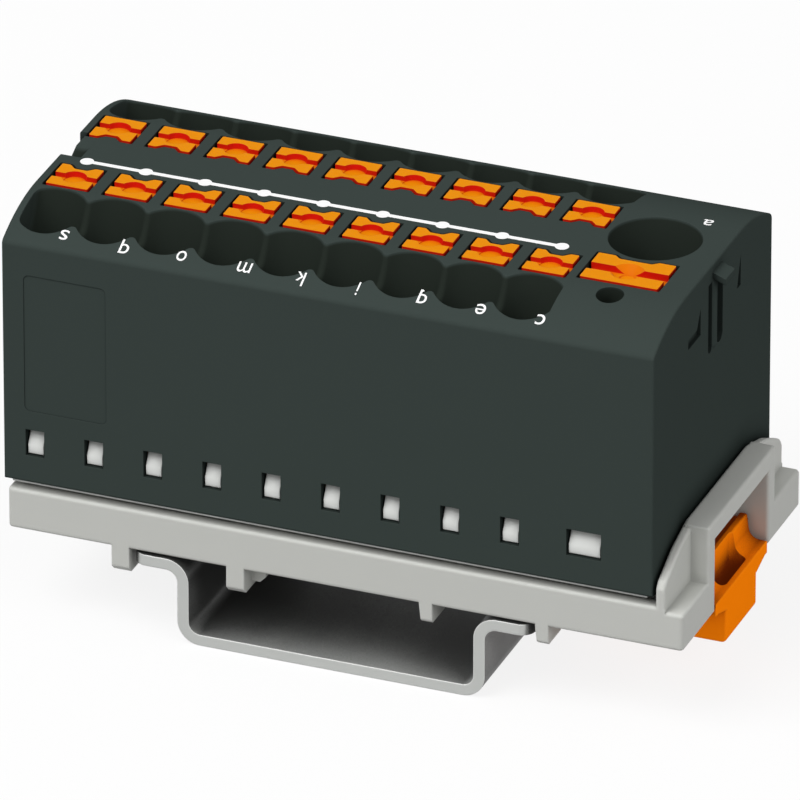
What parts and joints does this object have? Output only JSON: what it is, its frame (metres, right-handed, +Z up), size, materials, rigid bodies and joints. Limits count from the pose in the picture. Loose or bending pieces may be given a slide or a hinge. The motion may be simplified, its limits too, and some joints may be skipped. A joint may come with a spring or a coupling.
{
  "type": "power distribution block",
  "caption": "Push-in power distribution block: two rows of wire funnels with orange release buttons, a large infeed, and a latched foot on a short piece of top-hat rail.",
  "frame": {"origin": "on the rail's underside, below its centre line, at mid-depth of the block", "axes": "+X along the block towards the infeed, +Y into its depth along the rail, +Z up"},
  "size_m": [0.0595, 0.0274, 0.0362],
  "materials": {
    "housing_plastic": "fine satin",
    "carrier_plastic": "satin",
    "button_plastic": "semi-gloss",
    "adapter_plastic": "fine satin",
    "latch_plastic": "satin",
    "busbar_metal": "bare copper",
    "spring_steel": "bright",
    "rail_steel": "zinc-plated, satin"
  },
  "bodies": {
    "block": {"housing": "housing_plastic", "contact_carrier": "carrier_plastic", "busbar": "busbar_metal", "din_adapter": "adapter_plastic", "clamp_spring_infeed": "spring_steel", "latch_spring": "spring_steel", "clamp_spring_front_1": "spring_steel", "clamp_spring_front_2": "spring_steel", "clamp_spring_front_3": "spring_steel", "clamp_spring_front_4": "spring_steel", "clamp_spring_front_5": "spring_steel", "clamp_spring_front_6": "spring_steel", "clamp_spring_front_7": "spring_steel", "clamp_spring_front_8": "spring_steel", "clamp_spring_front_9": "spring_steel", "clamp_spring_rear_1": "spring_steel", "clamp_spring_rear_2": "spring_steel", "clamp_spring_rear_3": "spring_steel", "clamp_spring_rear_4": "spring_steel", "clamp_spring_rear_5": "spring_steel", "clamp_spring_rear_6": "spring_steel", "clamp_spring_rear_7": "spring_steel", "clamp_spring_rear_8": "spring_steel", "clamp_spring_rear_9": "spring_steel"},
    "rail": {"mounting_rail": "rail_steel"},
    "latch": {"foot_latch": "latch_plastic"},
    "infeed_button": {"button_infeed": "button_plastic"},
    "front_button_1": {"button_front_1": "button_plastic"},
    "front_button_2": {"button_front_2": "button_plastic"},
    "front_button_3": {"button_front_3": "button_plastic"},
    "front_button_4": {"button_front_4": "button_plastic"},
    "front_button_5": {"button_front_5": "button_plastic"},
    "front_button_6": {"button_front_6": "button_plastic"},
    "front_button_7": {"button_front_7": "button_plastic"},
    "front_button_8": {"button_front_8": "button_plastic"},
    "front_button_9": {"button_front_9": "button_plastic"},
    "rear_button_1": {"button_rear_1": "button_plastic"},
    "rear_button_2": {"button_rear_2": "button_plastic"},
    "rear_button_3": {"button_rear_3": "button_plastic"},
    "rear_button_4": {"button_rear_4": "button_plastic"},
    "rear_button_5": {"button_rear_5": "button_plastic"},
    "rear_button_6": {"button_rear_6": "button_plastic"},
    "rear_button_7": {"button_rear_7": "button_plastic"},
    "rear_button_8": {"button_rear_8": "button_plastic"},
    "rear_button_9": {"button_rear_9": "button_plastic"}
  },
  "joints": [
    {"name": "rail_slide", "type": "slide", "parent": "block", "child": "rail", "axis": [0, 1, 0], "range_m": [-0.012, 0.012]},
    {"name": "latch_release", "type": "slide", "parent": "block", "child": "latch", "axis": [1, 0, 0], "range_m": [0, 0.003], "stiffness_N_per_m": 2500, "springref_m": -0.001, "deforming": ["latch_spring"]},
    {"name": "infeed_press", "type": "slide", "parent": "block", "child": "infeed_button", "axis": [0, 0, -1], "range_m": [0, 0.0018], "stiffness_N_per_m": 4000, "springref_m": -0.001, "deforming": ["clamp_spring_infeed"]},
    {"name": "front_press_1", "type": "slide", "parent": "block", "child": "front_button_1", "axis": [0, 0, -1], "range_m": [0, 0.0018], "stiffness_N_per_m": 3000, "springref_m": -0.001, "deforming": ["clamp_spring_front_1"]},
    {"name": "front_press_2", "type": "slide", "parent": "block", "child": "front_button_2", "axis": [0, 0, -1], "range_m": [0, 0.0018], "stiffness_N_per_m": 3000, "springref_m": -0.001, "deforming": ["clamp_spring_front_2"]},
    {"name": "front_press_3", "type": "slide", "parent": "block", "child": "front_button_3", "axis": [0, 0, -1], "range_m": [0, 0.0018], "stiffness_N_per_m": 3000, "springref_m": -0.001, "deforming": ["clamp_spring_front_3"]},
    {"name": "front_press_4", "type": "slide", "parent": "block", "child": "front_button_4", "axis": [0, 0, -1], "range_m": [0, 0.0018], "stiffness_N_per_m": 3000, "springref_m": -0.001, "deforming": ["clamp_spring_front_4"]},
    {"name": "front_press_5", "type": "slide", "parent": "block", "child": "front_button_5", "axis": [0, 0, -1], "range_m": [0, 0.0018], "stiffness_N_per_m": 3000, "springref_m": -0.001, "deforming": ["clamp_spring_front_5"]},
    {"name": "front_press_6", "type": "slide", "parent": "block", "child": "front_button_6", "axis": [0, 0, -1], "range_m": [0, 0.0018], "stiffness_N_per_m": 3000, "springref_m": -0.001, "deforming": ["clamp_spring_front_6"]},
    {"name": "front_press_7", "type": "slide", "parent": "block", "child": "front_button_7", "axis": [0, 0, -1], "range_m": [0, 0.0018], "stiffness_N_per_m": 3000, "springref_m": -0.001, "deforming": ["clamp_spring_front_7"]},
    {"name": "front_press_8", "type": "slide", "parent": "block", "child": "front_button_8", "axis": [0, 0, -1], "range_m": [0, 0.0018], "stiffness_N_per_m": 3000, "springref_m": -0.001, "deforming": ["clamp_spring_front_8"]},
    {"name": "front_press_9", "type": "slide", "parent": "block", "child": "front_button_9", "axis": [0, 0, -1], "range_m": [0, 0.0018], "stiffness_N_per_m": 3000, "springref_m": -0.001, "deforming": ["clamp_spring_front_9"]},
    {"name": "rear_press_1", "type": "slide", "parent": "block", "child": "rear_button_1", "axis": [0, 0, -1], "range_m": [0, 0.0018], "stiffness_N_per_m": 3000, "springref_m": -0.001, "deforming": ["clamp_spring_rear_1"]},
    {"name": "rear_press_2", "type": "slide", "parent": "block", "child": "rear_button_2", "axis": [0, 0, -1], "range_m": [0, 0.0018], "stiffness_N_per_m": 3000, "springref_m": -0.001, "deforming": ["clamp_spring_rear_2"]},
    {"name": "rear_press_3", "type": "slide", "parent": "block", "child": "rear_button_3", "axis": [0, 0, -1], "range_m": [0, 0.0018], "stiffness_N_per_m": 3000, "springref_m": -0.001, "deforming": ["clamp_spring_rear_3"]},
    {"name": "rear_press_4", "type": "slide", "parent": "block", "child": "rear_button_4", "axis": [0, 0, -1], "range_m": [0, 0.0018], "stiffness_N_per_m": 3000, "springref_m": -0.001, "deforming": ["clamp_spring_rear_4"]},
    {"name": "rear_press_5", "type": "slide", "parent": "block", "child": "rear_button_5", "axis": [0, 0, -1], "range_m": [0, 0.0018], "stiffness_N_per_m": 3000, "springref_m": -0.001, "deforming": ["clamp_spring_rear_5"]},
    {"name": "rear_press_6", "type": "slide", "parent": "block", "child": "rear_button_6", "axis": [0, 0, -1], "range_m": [0, 0.0018], "stiffness_N_per_m": 3000, "springref_m": -0.001, "deforming": ["clamp_spring_rear_6"]},
    {"name": "rear_press_7", "type": "slide", "parent": "block", "child": "rear_button_7", "axis": [0, 0, -1], "range_m": [0, 0.0018], "stiffness_N_per_m": 3000, "springref_m": -0.001, "deforming": ["clamp_spring_rear_7"]},
    {"name": "rear_press_8", "type": "slide", "parent": "block", "child": "rear_button_8", "axis": [0, 0, -1], "range_m": [0, 0.0018], "stiffness_N_per_m": 3000, "springref_m": -0.001, "deforming": ["clamp_spring_rear_8"]},
    {"name": "rear_press_9", "type": "slide", "parent": "block", "child": "rear_button_9", "axis": [0, 0, -1], "range_m": [0, 0.0018], "stiffness_N_per_m": 3000, "springref_m": -0.001, "deforming": ["clamp_spring_rear_9"]}
  ]
}
